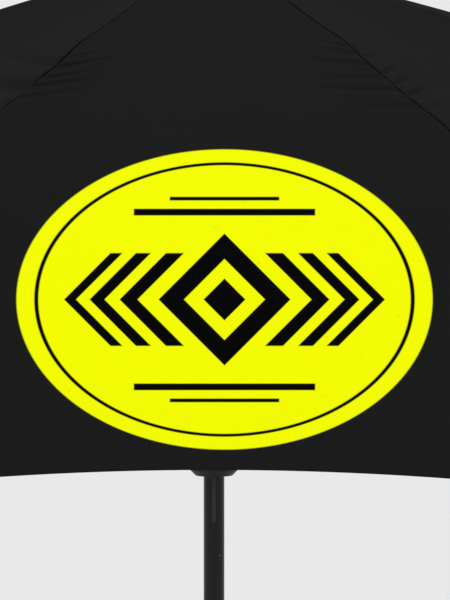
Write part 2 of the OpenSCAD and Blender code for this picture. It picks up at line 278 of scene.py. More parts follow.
# Tubes of rings (n, rings, sides, 3): closed ones join their ends, open ones get a flat cap at each end
def ringMesh(name, points, closed):
    count, rings, sides = points.shape[:3]
    shift = rings * sides * np.arange(count)[:, None, None]
    quads = (gridQuads(rings, sides, closed, True)[None] + shift).reshape(-1, 4)
    ends = np.stack([np.arange(sides), (rings - 1) * sides + np.arange(sides)[::-1]])
    caps = None if closed else (ends[None] + shift).reshape(-1, sides)
    return makeMesh(name, points.reshape(-1, 3), quads, None, caps)


# Tubes along paths (n, rings, 3): ring = path + radius x (cos x side + sin x up), side = direction x up
def tubeMesh(name, paths, up, radius, sides, closed):
    if closed:
        way = np.roll(paths, -1, axis=1) - np.roll(paths, 1, axis=1)
    else:
        way = np.gradient(paths, axis=1)
    way = unit(way)
    side = unit(np.cross(way, up))
    upright = np.cross(side, way)
    turn = fullTurn(sides)[:, None]
    around = np.cos(turn) * side[:, :, None, :] + np.sin(turn) * upright[:, :, None, :]
    points = paths[:, :, None, :] + np.asarray(radius)[..., None, None] * around
    return ringMesh(name, points, closed)


# Round heads of rivets, studs and pins
headForm = {
    "sides": 20,
    "rings": 7,
    "climb": 0.97,  # share of the quarter turn up to the last ring
    "sink": 0.25,  # of the base in its seat, as a share of the height
    "aslant": (0.3, 0.4, 0.86),  # a direction that no axis shares
}


# Rings of a quarter ellipse that stands on its base along an axis, with a flat cap on the small last ring
def headMesh(name, bases, axes, radius, height):
    climb = np.linspace(0, headForm["climb"], headForm["rings"]) * np.pi / 2
    level = np.concatenate([[-headForm["sink"]], np.sin(climb)]) * height
    reach = np.concatenate([[1.0], np.cos(climb)]) * radius
    first = unit(np.cross(axes, np.array(headForm["aslant"])))
    second = np.cross(axes, first)
    turn = fullTurn(headForm["sides"])[::-1, None]
    ring = np.cos(turn) * first[:, None, :] + np.sin(turn) * second[:, None, :]
    points = bases[:, None, None, :] + level[:, None, None] * axes[:, None, None, :]
    return ringMesh(name, points + reach[:, None, None] * ring[:, None, :, :], False)


offPrint = 1000.0  # stretches the print's map on a sheet's inner face, so that the print is outside only


# Closed sheets in one mesh: each outer grid, the same grid moved in along its normals, and a rim with sharp
# edges. A grid is its points and normals (rows, cols, 3) and its maps.
def sheetMesh(name, grids, thickness):
    points, quads, border, layer, maps = [], [], [], [], {}
    base = 0
    for outer, normals, gridMaps in grids:
        rows, cols = outer.shape[:2]
        size = rows * cols
        face = gridQuads(rows, cols)
        index = np.arange(size).reshape(rows, cols)
        loop = np.concatenate([index[:-1, 0], index[-1, :-1], index[:0:-1, -1], index[0, :0:-1]])
        after = np.roll(loop, -1)
        rim = np.stack([after, loop, loop + size, after + size], axis=-1)
        quads.append(base + np.concatenate([face, face[:, ::-1] + size, rim]))
        points.append(np.concatenate([outer.reshape(-1, 3), (outer - thickness * normals).reshape(-1, 3)]))
        onBorder = np.zeros(2 * size, dtype=bool)
        onBorder[np.concatenate([loop, loop + size])] = True
        border.append(onBorder)
        layer.append(np.repeat([base, base + 1], size))
        for mapName, values in gridMaps.items():
            inner = values * (offPrint if mapName == "printMap" else 1)
            maps.setdefault(mapName, []).append(np.concatenate([values, inner]))
        base += 2 * size
    joinedMaps = {mapName: np.concatenate(values) for mapName, values in maps.items()}
    mesh = makeMesh(name, np.concatenate(points), np.concatenate(quads), joinedMaps)
    ends = np.zeros(len(mesh.edges) * 2, dtype=np.int32)
    mesh.edges.foreach_get("vertices", ends)
    first, second = ends.reshape(-1, 2).T
    border, layer = np.concatenate(border), np.concatenate(layer)
    sharp = mesh.attributes.new("sharp_edge", "BOOLEAN", "EDGE")
    sharp.data.foreach_set("value", border[first] & border[second] & (layer[first] == layer[second]))
    return mesh


# Rib's curve, in metres in its own upright plane: a wide arc, a tighter arc and a straight end, all tangent
ribCurve = {
    "pivotRadius": 0.011,
    "rodRise": 0.001,  # of the rod's middle above the pivot
    "jointPlace": 0.212,  # along the rod
    "bendEnd": 0.53395,
    "rootSlope": 15.0,  # degrees below level
    "jointSlope": 17.0,
    "tipSlope": 42.0,
}
notchHeight = joints["rib_hinge_1"]["pos_m"][2]
halfGore = np.pi / len(ribNumbers)


def upward(slope):
    return np.stack([np.sin(slope), np.cos(slope)], axis=-1)


def outward(slope):
    return np.stack([np.cos(slope), -np.sin(slope)], axis=-1)


def ribAngle(i):
    return 2 * halfGore * (i - 0.5) - np.pi / 2


# Slope: linear along each arc. Point: arc's centre + (radius + rise) x upward direction of the slope.
def ribPoint(s, rise):
    rib = ribCurve
    root, middle, tip = np.radians([rib["rootSlope"], rib["jointSlope"], rib["tipSlope"]])
    innerRadius = rib["jointPlace"] / (middle - root)
    outerRun = rib["bendEnd"] - rib["jointPlace"]
    outerRadius = outerRun / (tip - middle)
    innerCentre = np.array([rib["pivotRadius"], 0.0]) + (rib["rodRise"] - innerRadius) * upward(root)
    outerCentre = innerCentre + (innerRadius - outerRadius) * upward(middle)
    innerSlope = root + s / innerRadius
    outerSlope = np.minimum(middle + (s - rib["jointPlace"]) / outerRadius, tip)
    rise = np.asarray(rise)[..., None]
    inner = innerCentre + (innerRadius + rise) * upward(innerSlope)
    outer = outerCentre + (outerRadius + rise) * upward(outerSlope)
    straight = np.maximum(s - rib["bendEnd"], 0.0)[..., None] * outward(outerSlope)
    isInner = s < rib["jointPlace"]
    point = np.where(isInner[..., None], inner, outer + straight)
    return point, np.where(isInner, innerSlope, outerSlope)


# Turns points of a rib's plane (outwards, sideways, up from the notch) to their place round the shaft
def roundShaft(local, i):
    angle = ribAngle(i)
    c, s = np.cos(angle), np.sin(angle)
    x, y, z = local[..., 0], local[..., 1], local[..., 2]
    return np.stack([c * x - s * y, s * x + c * y, z + notchHeight], axis=-1)


# Turns directions of a rib's plane the same way
def turnRound(local, i):
    return roundShaft(local, i) - np.array([0.0, 0.0, notchHeight])


# Points at places along a rib, to its side and above its rod
def besideRib(s, aside, rise, i):
    point = ribPoint(s, rise)[0]
    return roundShaft(np.stack([point[..., 0], aside, point[..., 1]], axis=-1), i)


# Half the width of a petal at a place along its rib
def halfWidth(s):
    return ribPoint(s, 0 * s)[0][..., 0] * np.sin(halfGore)


# Distance of a place on a petal from its seam
def awayOf(s, t):
    return np.abs(t) * halfWidth(s)


# Place across a petal at a distance from its seam, positive on one side and negative on the other
def shareOf(s, away):
    return away / halfWidth(s)


# 3 x square - 2 x cube of the share of the way between two edges
def smoothStep(x, low, high):
    u = np.clip((x - low) / (high - low), 0, 1)
    return u * u * (3 - 2 * u)


# e to the minus square of the distance from the middle, in widths
def bell(x, middle, width):
    return np.exp(-(((x - middle) / width) ** 2))


def between(limits, share):
    return limits[0] + (limits[1] - limits[0]) * share


# Canopy: one petal of cloth for each rib, from the middle of one gore to the middle of the next
canopy = {
    "clothEnd": 0.5367,  # along the rib
    "rise": 0.0030,  # outer face above the rod's middle
    "thickness": 0.00035,
    "scallop": 0.019,  # hollow of the hem between two ribs
    "sag": 0.0035,  # the middle of a gore is drawn in
    "sagLean": 1.1,  # power that moves the deepest sag to the hem
    "seamDepth": 0.0008,
    "seamWidth": 0.0008,
    "seamPower": 1.4,
    "hemWidth": 0.0032,
    "hemRise": 0.00035,
    "fold": 0.23,  # share of a petal's width in the closed pose
    "flat": (0.374, 0.5367),
    "flatArea": 0.0965,
}
# Creases where the threads at the joint gather the seam, by rib and side:
# place along the rib, lean to the crown, length, depth, width
photoCreases = {
    (8, 1): [
        (0.1706, 1.0, 0.011, 0.00055, 0.0018),
        (0.1857, 1.04, 0.017, 0.0013, 0.002),
        (0.2003, 0.86, 0.017, 0.001, 0.0018),
        (0.212, 0.79, 0.02, 0.0013, 0.002),
        (0.227, 0.7, 0.022, 0.00085, 0.0029),
        (0.24, 0.45, 0.018, 0.0003, 0.003),
    ],
    (8, -1): [
        (0.1815, 0.42, 0.04, 0.00095, 0.0068),
        (0.215, 0.38, 0.048, 0.00175, 0.008),
        (0.2465, 0.34, 0.04, 0.00085, 0.0076),
    ],
    (1, -1): [
        (0.155, 1.1, 0.012, 0.00044, 0.0024),
        (0.1656, 0.85, 0.014, 0.00056, 0.0024),
        (0.1796, 0.5, 0.022, 0.0009, 0.0032),
        (0.2, 0.3, 0.026, 0.00062, 0.003),
        (0.2161, 0.25, 0.03, 0.00095, 0.0034),
        (0.2381, 0.2, 0.03, 0.00066, 0.0036),
        (0.256, 0.08, 0.024, 0.00026, 0.004),
    ],
    (1, 1): [
        (0.1703, 0.5, 0.01, 0.0006, 0.0024),
        (0.1939, 0.77, 0.017, 0.00095, 0.0026),
        (0.2084, 0.77, 0.019, 0.001, 0.0026),
        (0.2248, 0.75, 0.022, 0.001, 0.0028),
        (0.242, 0.6, 0.018, 0.0006, 0.0034),
    ],
}
# The other gores' creases are drawn by chance between these limits
chanceCreases = {
    "count": (5, 8),
    "places": (0.162, 0.242),  # of the first and the last along the rib
    "stray": 0.003,
    "fall": 0.6,  # loss of depth from the middle one to the outer ones
    "lean": (0.20, 0.75),
    "length": (0.014, 0.034),
    "depth": (0.00060, 0.00100),
    "width": (0.0034, 0.0050),
}
chance = np.random.default_rng(7)


def drawnCreases():
    k = chanceCreases
    count = chance.integers(*k["count"])
    places = np.linspace(*k["places"], count) + chance.uniform(-k["stray"], k["stray"], count)
    middle = 1 - k["fall"] * np.abs(np.linspace(-1, 1, count))
    lean = chance.uniform(*k["lean"], count)
    length = chance.uniform(*k["length"], count)
    depth = chance.uniform(*k["depth"], count) * middle
    width = chance.uniform(*k["width"], count)
    return list(zip(places, lean, length, depth, width))


creases = {(i, side): photoCreases.get((i, side)) or drawnCreases() for i in ribNumbers for side in (-1, 1)}
creaseForm = {
    "curl": 1.5,  # bends the line back with the square of the distance
    "outerRidge": (0.25, 1.6),  # height in depths, and place in widths from the groove
    "innerRidge": (0.45, -1.7),
    "fade": 3,  # power of the fall along the crease
    "onset": 0.003,  # distance from the seam to the full depth
}
# Seam's wander off the rib: it bows out on both sides of the joint, away from the front gore
seamWander = {
    "stray": 0.0008,
    "front": {1: 0.0022, 8: -0.0022},
    "bows": (0.146, 0.262),  # places along the rib
    "bowWidth": 0.021,
    "joint": 0.220,
    "jointWidth": 0.017,
    "jointShare": 0.35,
}
wander = {i: chance.uniform(-seamWander["stray"], seamWander["stray"]) for i in ribNumbers}
wander.update(seamWander["front"])
# Cloth that stands off one rib between its ties
slack = {"rib": 3, "height": 0.0028, "start": 0.03, "length": 0.27}
# One seam is fine, but drawn in over a stretch of its rib
pulled = {
    "rib": 8,
    "stretch": (0.150, 0.190),
    "rise": (-0.016, 0.004),  # ends of the rise, from the start of the stretch
    "fall": 0.02,
    "fine": 0.72,  # share of the other seams' depth and of the width of their painted shade line
    "drawn": 1.25,
}


# Two bell curves beside the joint less a smaller one at it
def wanderOf(s):
    k = seamWander
    bows = sum(bell(s, place, k["bowWidth"]) for place in k["bows"])
    return bows - k["jointShare"] * bell(s, k["joint"], k["jointWidth"])


# Square of what is left of the way from the seam to the gore's middle
def nearSeam(t):
    return np.maximum(1 - np.abs(t), 0) ** 2


# Rib's curve drawn straight across: sideways way = t x distance to the gore's middle, t from -1 to 1
def petalBase(s, t, i):
    point = ribPoint(s, canopy["rise"] + 0 * s)[0]
    way = t * point[..., 0] * np.sin(halfGore)
    out = point[..., 0] - np.abs(way) * np.sin(halfGore)
    aside = wander[i] * wanderOf(s) * nearSeam(t)
    return np.stack([out, way * np.cos(halfGore) + aside, point[..., 1]], axis=-1)


# Cross product of the small steps along the rib and across it
def petalNormal(s, t, i):
    stepS, stepT = 1e-4, 1e-3
    along = petalBase(s + stepS, t, i) - petalBase(s - stepS, t, i)
    across = petalBase(s, t + stepT, i) - petalBase(s, t - stepT, i)
    return unit(np.cross(along, across))


# Rise from 0 at the seam to 1 in the gore's middle, where it is level
def acrossGore(t):
    return 1 - (1 - np.abs(t)) ** 2


# The hem's hollow = scallop x that rise
def hollowOf(t):
    return canopy["scallop"] * acrossGore(t)


# Each crease is a bell-shaped groove between two low ridges; its line leans to the crown, and it fades with
# the distance from the seam
def creaseHeight(s, away, rows):
    k = creaseForm
    height = 0 * s
    for place, lean, length, depth, width in rows:
        u = (s + lean * away - k["curl"] * lean * away ** 2 - place) / width
        groove = -bell(u, 0, 1)
        for share, middle in (k["outerRidge"], k["innerRidge"]):
            groove = groove + share * bell(u, middle, 1)
        height = height + depth * groove * np.exp(-((away / length) ** k["fade"]))
    return height * smoothStep(away, 0.0, k["onset"])


# Share of a seam's depth and of the width of its painted shade line: 1, or on the fine seam a smooth step up
# to the drawn stretch and down
def seamPull(s, i):
    k = pulled
    if i != k["rib"]:
        return 1 + 0 * s
    low, high = k["stretch"]
    rise = smoothStep(s, low + k["rise"][0], low + k["rise"][1])
    drawn = rise * (1 - smoothStep(s, high, high + k["fall"]))
    return k["fine"] + (k["drawn"] - k["fine"]) * drawn


# Square of a sine along the rib, falling off to the gore's middle
def slackHeight(s, t, i):
    k = slack
    if i != k["rib"]:
        return 0 * s
    share = np.clip((s - k["start"]) / k["length"], 0, 1)
    return k["height"] * np.sin(np.pi * share) ** 2 * nearSeam(t)


# Height along the normal: sag of the gore, slack off the rib, groove at the seam, creases by the joint and a
# rolled hem, which is half an ellipse
def petalHeight(s, t, i):
    c = canopy
    away = awayOf(s, t)
    sag = -c["sag"] * np.sin(np.pi * (s / c["clothEnd"]) ** c["sagLean"]) * acrossGore(t)
    seam = -c["seamDepth"] * seamPull(s, i) * np.exp(-((away / c["seamWidth"]) ** c["seamPower"]))
    left = creaseHeight(s, away, creases[(i, -1)])
    right = creaseHeight(s, away, creases[(i, 1)])
    edge = c["clothEnd"] - hollowOf(t) - s
    halfHem = c["hemWidth"] / 2
    roll = np.sqrt(np.clip(1 - ((edge - halfHem) / halfHem) ** 2, 0, 1))
    return sag + slackHeight(s, t, i) + seam + np.where(t < 0, left, right) + c["hemRise"] * roll


# Point = base + normal x (height + lift)
def petalSurface(s, t, i, lift=0.0):
    normal = petalNormal(s, t, i)
    local = petalBase(s, t, i) + normal * (petalHeight(s, t, i) + lift)[..., None]
    return roundShaft(local, i), turnRound(normal, i)


# Grid of a petal: rows lie closest where the creases are and in the hem, columns beside the seam
petalMesh = {
    # end along the rib, and rows on a plain petal and on a printed one
    "stretches": [(0.145, (26, 26)), (0.270, (84, 170)), (0.525, (48, 48)), (0.532, (5, 5))],
    "hemRows": 13,
    "sideCols": (30, 48),
    "crowding": 1.7,
}


# Place along the rib = share x (cloth's end - hollow of the hem)
def petalGrid(fine):
    k = petalMesh
    end = canopy["clothEnd"]
    rows, last = [], 0.0
    for place, counts in k["stretches"]:
        rows.append(np.linspace(last, place, counts[fine], endpoint=False))
        last = place
    rows.append(np.linspace(last, end, k["hemRows"]))
    half = np.linspace(0.0, 1.0, k["sideCols"][fine] + 1) ** k["crowding"]
    cols = np.concatenate([-half[:0:-1], half])
    share, t = np.meshgrid(np.concatenate(rows) / end, cols, indexing="ij")
    return share * (end - hollowOf(t)), t


# Print's own map: the photo's pixels of each point, from the oval's middle in half widths and half heights
printOval = {"middlePx": (224.5, 299.5), "halfPx": (208.0, 150.0), "petals": (1, 8)}


def printMap(points):
    across, down = photoPixels(points.reshape(-1, 3), photoView)
    u = (across - printOval["middlePx"][0]) / printOval["halfPx"][0]
    v = (printOval["middlePx"][1] - down) / printOval["halfPx"][1]
    return np.stack([u, v], axis=-1)


# Cloth: near-black plain weave with a faint sheen; the front gore carries the printed oval
clothFinish = {
    "black": 0.0114,
    "inkBlack": (0.0022, 0.0022, 0.0024, 1.0),
    "inkYellow": (0.915, 0.985, 0.001, 1.0),
    "threadPitch": 0.0004,
    "slub": (260.0, 2.0),  # scale and detail of the noise
    "cloud": (14.0, 3.0),
    "shade": (0.90, 0.20),  # least, and span over the cloud
    "seamLine": (0.00035, 0.0008),  # painted shade of the seam's groove, partly the dark thread: dark up to the first distance, plain from the second
    "hemLine": (0.0030, 0.0036, 0.0002),  # start, end and softness, from the hem
    "hemLineShare": 0.25,
    "lineDark": 0.75,
    "rough": (0.80, 0.10),
    "inkRough": 0.06,
    "relief": (0.35, 0.00012),  # strength and depth
    "slubRelief": 0.6,
    "shader": {"Specular IOR Level": 0.006},
}
# The oval's design, in half heights of the oval from its middle
ovalDesign = {
    "aspect": 1.387,
    "edge": (0.995, 1.005),
    "line": (0.895, 0.915),
    "core": (0.135, 0.145),  # soft edge of the middle diamond
    "ring": (0.27, 0.44),
    "chevrons": [(0.58, 0.70), (0.80, 0.90), (0.99, 1.07)],
    "chevronTop": (0.305, 0.315),
    "bars": [((0.56, 0.605), (0.60, 0.61)), ((0.66, 0.685), (0.36, 0.37))],  # height, and soft end
    "thinSoft": 0.004,
    "wideSoft": 0.005,
}


# Oval r < 1; inside it a thin line at r 0.9 and level bands of |x| + |y|: nested diamonds, then chevrons
def ovalInk(start):
    k = ovalDesign
    thin, wide = k["thinSoft"], k["wideSoft"]
    u, v = mapParts(start, "printMap")
    r = start.math("SQRT", u * u + v * v)
    x = abs(u) * k["aspect"]
    y = abs(v)
    diamond = x + y
    inside = 1 - r.step(*k["edge"])
    motif = r.band(*k["line"], thin)
    motif = motif.most(1 - diamond.step(*k["core"])).most(diamond.band(*k["ring"], wide))
    low = 1 - y.step(*k["chevronTop"])
    for near, far in k["chevrons"]:
        motif = motif.most(diamond.band(near, far, wide) * low)
    for height, end in k["bars"]:
        motif = motif.most(y.band(*height, thin) * (1 - x.step(*end)))
    return inside, motif


def clothMaterial(name, printed):
    f = clothFinish
    material, start, shader = newMaterial(name, f["shader"])
    warp, weft = mapParts(start, "clothMap")
    turns = np.pi / f["threadPitch"]
    over = start.math("SINE", warp * turns) * start.math("SINE", weft * turns)
    slub = start.noise(objectPlace(start), *f["slub"])
    cloud = start.noise(objectPlace(start), *f["cloud"])
    away, edge = mapParts(start, "trimMap")
    # Painted shade: the cloth is darkened along the seam's groove, partly for the dark thread there, and a
    # fainter dark line runs along the hem
    seamShadeAndHemLine = (1 - away.step(*f["seamLine"])).most(f["hemLineShare"] * edge.band(*f["hemLine"]))
    shade = (f["shade"][0] + f["shade"][1] * cloud) * (1 - f["lineDark"] * seamShadeAndHemLine)
    base = start.add("ShaderNodeCombineColor", None, {i: f["black"] * shade for i in range(3)})
    rough = f["rough"][0] + f["rough"][1] * (slub - 0.5)
    if printed:
        inside, motif = ovalInk(start)
        ink = start.mixColours(f["inkYellow"], f["inkBlack"], motif)
        base = start.mixColours(base, ink, inside)
        rough = rough + f["inkRough"] * inside
    base.into(shader, "Base Color")
    rough.into(shader, "Roughness")
    start.bump(over + f["slubRelief"] * slub, *f["relief"]).into(shader, "Normal")
    return material


plainCloth = clothMaterial("canopyCloth", False)
printedCloth = clothMaterial("printedCloth", True)


# Maps of a grid of cloth: its threads, the print, and its distances from the seam and from the hem
def clothMaps(across, s, points, seam, hem):
    weave = np.stack([across.ravel(), s.ravel()], axis=-1)
    trim = np.stack([seam.ravel(), hem.ravel()], axis=-1)
    return {"clothMap": weave, "printMap": printMap(points), "trimMap": trim}


def clothGrid(s, t, i, lift=0.0):
    points, normals = petalSurface(s, t, i, lift)
    away = awayOf(s, t)
    hem = canopy["clothEnd"] - hollowOf(t) - s
    # The seam's distance is divided by its pull, so the painted shade line at the seam widens where the seam
    # is drawn in
    return points, normals, clothMaps(np.sign(t) * away, s, points, away / seamPull(s, i), hem)


def foldWithCanopy(piece, i):
    angle = ribAngle(i)
    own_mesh(piece)


# The petal's surface on its own grid, made a closed sheet
def makePetal(i):
    printed = i in printOval["petals"]
    mesh = sheetMesh(f"cloth_{i}", [clothGrid(*petalGrid(printed), i)], canopy["thickness"])
    return addSoft(mesh, i, printedCloth if printed else plainCloth)


# Tuck of the cloth past the middle of each gore, under the next petal, so that the closed canopy has no slits
tuck = {
    "run": (0.020, 0.245),  # start and end along the rib
    "least": 0.80,
    "fall": 0.064,
    "shift": 0.0140,
    "most": 1.93,  # just short of the next rib
    "nearest": 1.002,
    "under": 0.00042,
    "thickness": 0.00018,
    "grid": (46, 9),
}


# Reach, in half widths of the petal = least + fall / (place along the rib + shift), within its limits
def makeTucks(i):
    k = tuck
    rows, cols = k["grid"]
    place = np.linspace(*k["run"], rows)
    reach = np.clip(k["least"] + k["fall"] / (place + k["shift"]), k["nearest"], k["most"])
    grids = []
    for side in (-1, 1):
        s, u = np.meshgrid(place, np.linspace(0.0, 1.0, cols)[::side], indexing="ij")
        t = side * (1 + u * (reach - 1)[:, None])
        grids.append(clothGrid(s, t, i, -k["under"]))
    return addSoft(sheetMesh(f"tucks_{i}", grids, k["thickness"]), i, plainCloth)


# Seam allowance: a narrow band of the petal's surface, under the seam
seamBand = {
    "run": (0.034, 0.528),
    "halfWidth": 0.0050,
    "under": 0.00040,
    "thickness": 0.00018,
    "grid": (150, 13),
}


def makeSeamBand(i):
    k = seamBand
    rows, cols = k["grid"]
    place = np.linspace(*k["run"], rows)
    s, away = np.meshgrid(place, np.linspace(-1, 1, cols) * k["halfWidth"], indexing="ij")
    grid = clothGrid(s, shareOf(s, away), i, -k["under"])
    return addSoft(sheetMesh(f"seamBand_{i}", [grid], k["thickness"]), i, plainCloth)


# Rosette at the crown: a lobe of cloth over each rib, from under the cap to a round end
rosette = {
    "run": (-0.0030, 0.0215),
    "halfWidth": 0.0063,  # at the rib's pivot
    "spread": 0.06,  # growth of the half width along the rib
    "roundEnd": 0.0075,
    "blunt": 0.995,  # share of the round end that is kept
    "lift": 0.00050,
    "lap": 0.00010,  # one side lies this much higher and laps over the next lobe
    "thickness": 0.00015,
    "bend": (0.0095, 0.0165),  # from the shaft, where the lobe starts and ends its bend
    "grid": (40, 25),
    "crowding": 1.5,  # of the rows at the round end
}


# Half width = (width at the pivot + spread x place) x chord of the round end, lifted along the normal
def makeLobe(i):
    k = rosette
    rows, cols = k["grid"]
    share = 1 - np.linspace(1, 0, rows) ** k["crowding"]
    row, u = np.meshgrid(share, np.linspace(-1, 1, cols), indexing="ij")
    s = between(k["run"], row)
    end = k["run"][1]
    past = np.clip((s - end + k["roundEnd"]) / k["roundEnd"], 0.0, k["blunt"])
    half = (k["halfWidth"] + k["spread"] * s) * np.sqrt(1 - past ** 2)
    t = shareOf(s, u * half)
    normal = petalNormal(s, t, i)
    lift = k["lift"] + k["lap"] * u * half / k["halfWidth"]
    points = roundShaft(petalBase(s, t, i) + normal * lift[..., None], i)
    rim = np.minimum(2 * half * (1 - np.abs(u)), 2 * (end - s))
    maps = clothMaps(u * half, s, points, 0 * s + k["halfWidth"], rim)
    mesh = sheetMesh(f"rosette_{i}", [(points, turnRound(normal, i), maps)], k["thickness"])
    lobe = addPiece(mesh, None, plainCloth)
    way = np.array([np.cos(ribAngle(i)), np.sin(ribAngle(i)), 0.0])
    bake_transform(lobe)
    return lobe


# Patch over each joint, between rib and canopy: a saddle of cloth that narrows to its ends
patch = {
    "run": (0.197, 0.227),
    "top": 0.00236,  # above the rod's middle
    "dent": (0.00026, 0.0006),  # depth and width under the seam
    "dip": (0.0009, 0.003),  # depth, and distance from the seam to its full depth
    "halfWidth": (0.0026, 0.0056),  # at the ends and in the middle
    "hang": (0.0012, 0.0052),
    "swell": 0.7,  # power of the growth from the ends to the middle
    "spread": 0.7,  # share of the cloth that lies across, the rest hangs down
    "thickness": 0.00018,
    "grid": (30, 41),
}


# Out to the half width by a sine, then down by a square. Height = round over the sleeve less a dent, or the
# gore's slope less a dip, whichever is higher, less the hang
def makePatch(i):
    k = patch
    rows, cols = k["grid"]
    share, u = np.meshgrid(np.linspace(0, 1, rows), np.linspace(-1, 1, cols), indexing="ij")
    s = between(k["run"], share)
    swell = np.sin(np.pi * share) ** k["swell"]
    half = between(k["halfWidth"], swell)
    hang = between(k["hang"], swell)
    aside = np.sign(u) * half * np.sin(np.pi / 2 * np.minimum(np.abs(u) / k["spread"], 1))
    arch = np.sqrt(np.maximum(k["top"] ** 2 - aside ** 2, 0))
    over = arch - k["dent"][0] * bell(aside, 0, k["dent"][1])
    slope = k["top"] - np.tan(halfGore) * np.abs(aside)
    slope = slope - k["dip"][0] * smoothStep(np.abs(aside), 0.0, k["dip"][1])
    rise = np.maximum(over, slope) - hang * np.maximum(2 * np.abs(u) - 1, 0) ** 2
    points = besideRib(s, aside, rise, i)
    along, across = np.gradient(points, axis=0), np.gradient(points, axis=1)
    widest = k["halfWidth"][1]
    maps = clothMaps(u * 2 * widest, s, points, 0 * s + widest, 0 * s + widest)
    mesh = sheetMesh(f"jointPatch_{i}", [(points, unit(np.cross(along, across)), maps)], k["thickness"])
    return addSoft(mesh, i, plainCloth)


# Thread: sewn along the hem, tied round the rod, and through the eye of each tip
thread = {
    "radius": 0.00020,
    "pitch": 0.0042,
    "stitch": 0.0031,
    "rings": 5,  # of a stitch
    "proud": 0.55,  # of a stitch's middle above the cloth, in radii
    "dive": 1.3,  # from its middle to its ends, in radii
    "taper": 0.75,
    "hemInset": 0.0030,
    "hemReach": 0.995,  # share of the petal's half width
    "hemSteps": 260,
    "stitchSides": 4,
    "loopSides": 6,
}
tie = {
    "places": (0.100, 0.1955, 0.2285, 0.330, 0.440),  # along the rib
    "loops": (-0.00045, 0.0, 0.00045),
    "half": (0.00185, 0.00190),  # half width and half height of a loop round the rod
    "rise": 0.00005,
    "slant": 0.00025,
    "rings": 24,
}
tipLoop = {
    "eye": 0.5535,  # place of the tip's eye along the rib
    "hold": 0.5345,  # place of the stitch in the cloth's corner
    "half": 0.00375,
    "lift": 0.0002,  # above the cloth
    "square": 0.4,  # power that makes the loop oblong
    "rings": 64,
}
threadFinish = {
    "shader": {"Specular IOR Level": 0.15},
    "blacks": (0.008, 0.016),
    "mottle": (3200.0, 2.0),  # scale and detail
    "rough": (0.62, 0.2),  # least, and span
    "grain": ("ShaderNodeTexNoise", 3200.0),
    "relief": (0.3, 0.0001),  # strength and depth
}
blackThread = mottledMaterial("blackThread", threadFinish)


# Stitches along a line of points on the cloth: each thread dips into the cloth at both ends by a square
def stitchRow(points, normals):
    k = thread
    run = np.concatenate([[0.0], np.cumsum(np.linalg.norm(np.diff(points, axis=0), axis=1))])
    count = int(run[-1] / k["pitch"])
    middle = (np.arange(count) + 0.5) * run[-1] / count
    u = np.linspace(-1, 1, k["rings"])
    at = middle[:, None] + u * k["stitch"] / 2
    place = np.stack([np.interp(at, run, points[:, axis]) for axis in range(3)], axis=-1)
    up = unit(np.stack([np.interp(at, run, normals[:, axis]) for axis in range(3)], axis=-1))
    return place + up * (k["radius"] * (k["proud"] - k["dive"] * u ** 2))[:, None], up


# All the rows of stitches in one mesh; radius = thread's x root of (1 - taper x square of the place)
def stitchMesh(name, rows):
    paths, ups = zip(*rows)
    u = np.linspace(-1, 1, thread["rings"])
    radius = thread["radius"] * np.sqrt(1 - thread["taper"] * u ** 2)
    return tubeMesh(name, np.concatenate(paths), np.concatenate(ups), radius, thread["stitchSides"], False)


# A row on each face of the cloth, at one distance from the hem
def makeHemStitches(i):
    t = np.linspace(-thread["hemReach"], thread["hemReach"], thread["hemSteps"])
    s = canopy["clothEnd"] - hollowOf(t) - thread["hemInset"]
    outer, normals = petalSurface(s, t, i)
    inner = outer - canopy["thickness"] * normals
    rows = [stitchRow(outer, normals), stitchRow(inner, -normals)]
    return addSoft(stitchMesh(f"hemStitches_{i}", rows), i, blackThread)


# Closed threads through places along, beside and above a rib; up is along the rib, turned by an angle
def addLoops(name, s, aside, rise, angle, i):
    slope = ribPoint(s, rise)[1] - angle
    up = turnRound(np.stack([np.cos(slope), 0 * slope, -np.sin(slope)], axis=-1), i)
    loops = besideRib(s, aside, rise, i)
    return addSoft(tubeMesh(name, loops, up, thread["radius"], thread["loopSides"], True), i, blackThread)


# Loops round the rod and the seam, an ellipse each
def makeTies(i):
    k = tie
    turn = fullTurn(k["rings"])
    place = (np.array(k["places"])[:, None] + np.array(k["loops"])).reshape(-1, 1)
    s = place + k["slant"] * np.sin(turn)
    aside = k["half"][0] * np.cos(turn) + 0 * s
    rise = k["rise"] + k["half"][1] * np.sin(turn) + 0 * s
    return addLoops(f"ties_{i}", s, aside, rise, 0.0, i)


# A sine or cosine raised to a power, with its sign kept
def squared(wave):
    return np.sign(wave) * np.abs(wave) ** tipLoop["square"]


# A rounded oblong loop from the cloth's corner to the eye, falling evenly to the rod's middle
def makeTipLoop(i):
    k = tipLoop
    turn = fullTurn(k["rings"])[None, :]
    reach = k["eye"] - k["hold"]
    s = (k["hold"] + k["eye"]) / 2 - reach / 2 * squared(np.cos(turn))
    aside = k["half"] * squared(np.sin(turn))
    atCloth = canopy["rise"] + k["lift"] - np.abs(aside) * np.tan(halfGore)
    rise = np.maximum(atCloth, 0.0) * (k["eye"] - s) / reach
    return addLoops(f"tipThread_{i}", s, aside, rise, np.pi / 2, i)


petals = {}
for i in ribNumbers:
    petals[i] = makePetal(i)
    sewn = [makeTucks(i), makeSeamBand(i), makeHemStitches(i)]
    for piece in [petals[i], *sewn]:
        foldWithCanopy(piece, i)
    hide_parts(f"canopy_{i}")
    makeLobe(i)
    makePatch(i)
    makeTies(i)
    makeTipLoop(i)
print("canopy:", len(petals), "petals with tucks, seam bands, stitches, lobes, patches and ties")

